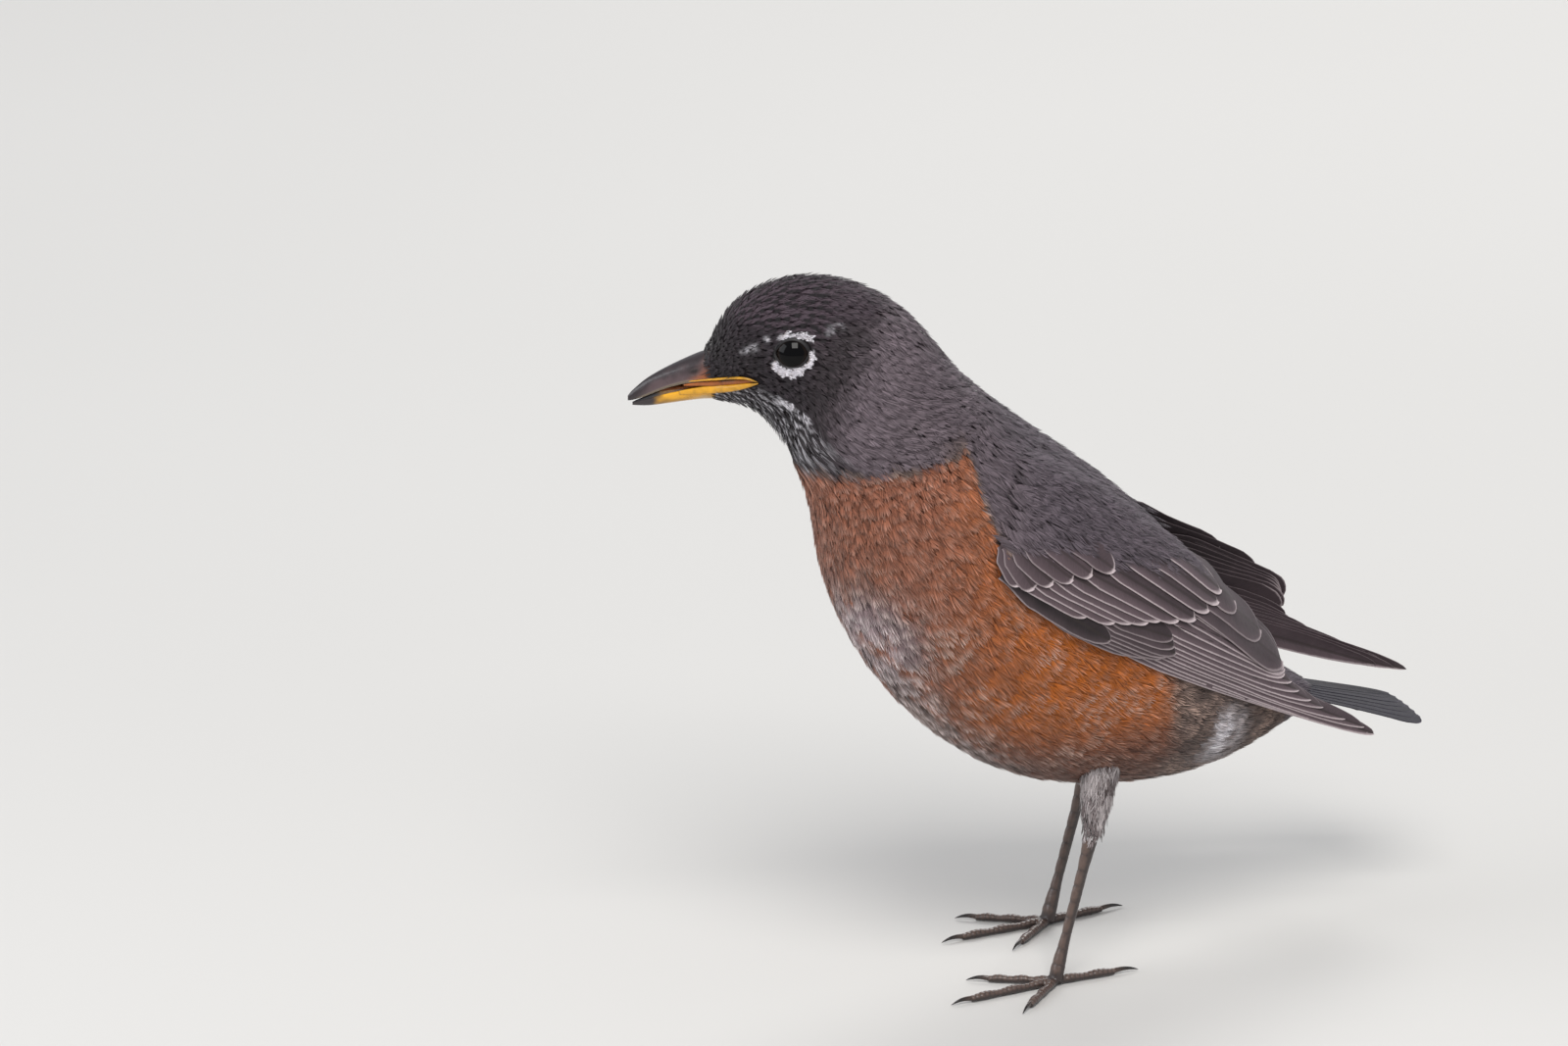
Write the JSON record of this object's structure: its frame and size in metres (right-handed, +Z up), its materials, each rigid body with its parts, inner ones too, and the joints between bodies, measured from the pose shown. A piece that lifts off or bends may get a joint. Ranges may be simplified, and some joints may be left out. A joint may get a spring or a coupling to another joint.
{
  "type": "american robin",
  "caption": "Life-size still model of a standing american robin, head turned to its right and wings folded.",
  "frame": {"origin": "on the floor, under the middle of the bird's bounds", "axes": "the body faces -X, its left side is towards -Y and +Z is up; the soles are at z = 0"},
  "size_m": [0.1868, 0.0622, 0.1628],
  "materials": {
    "head_plumage": "soft matt plumage, grey-black with darker feather centres",
    "breast_plumage": "soft matt plumage, brick orange below and grey above",
    "wing_feather": "smooth satin vanes, grey-brown with pale edges",
    "tail_feather": "smooth satin vanes, slate with a faint blue sheen",
    "leg_plumage": "soft matt plumage, pale grey",
    "bill_horn": "satin horn, dark with a yellow base",
    "eye_lens": "wet black gloss",
    "foot_scale": "satin scaly skin, dark brown",
    "claw_horn": "satin horn, near black"
  },
  "bodies": {
    "root": {"bill_lower": "bill_horn", "bill_upper": "bill_horn", "claw_left_hind": "claw_horn", "claw_left_inner": "claw_horn", "claw_left_middle": "claw_horn", "claw_left_outer": "claw_horn", "claw_right_hind": "claw_horn", "claw_right_inner": "claw_horn", "claw_right_middle": "claw_horn", "claw_right_outer": "claw_horn", "eye_left": "eye_lens", "eye_right": "eye_lens", "head": "head_plumage", "leg_left_tarsus": "foot_scale", "leg_left_tibia": "leg_plumage", "leg_right_tarsus": "foot_scale", "leg_right_tibia": "leg_plumage", "neck": "head_plumage", "tail": "tail_feather", "toe_left_hind": "foot_scale", "toe_left_inner": "foot_scale", "toe_left_middle": "foot_scale", "toe_left_outer": "foot_scale", "toe_right_hind": "foot_scale", "toe_right_inner": "foot_scale", "toe_right_middle": "foot_scale", "toe_right_outer": "foot_scale", "trunk": "breast_plumage", "wing_left_coverts": "wing_feather", "wing_left_primaries": "wing_feather", "wing_left_secondaries": "wing_feather", "wing_right_coverts": "wing_feather", "wing_right_primaries": "wing_feather", "wing_right_secondaries": "wing_feather"}
  },
  "joints": []
}
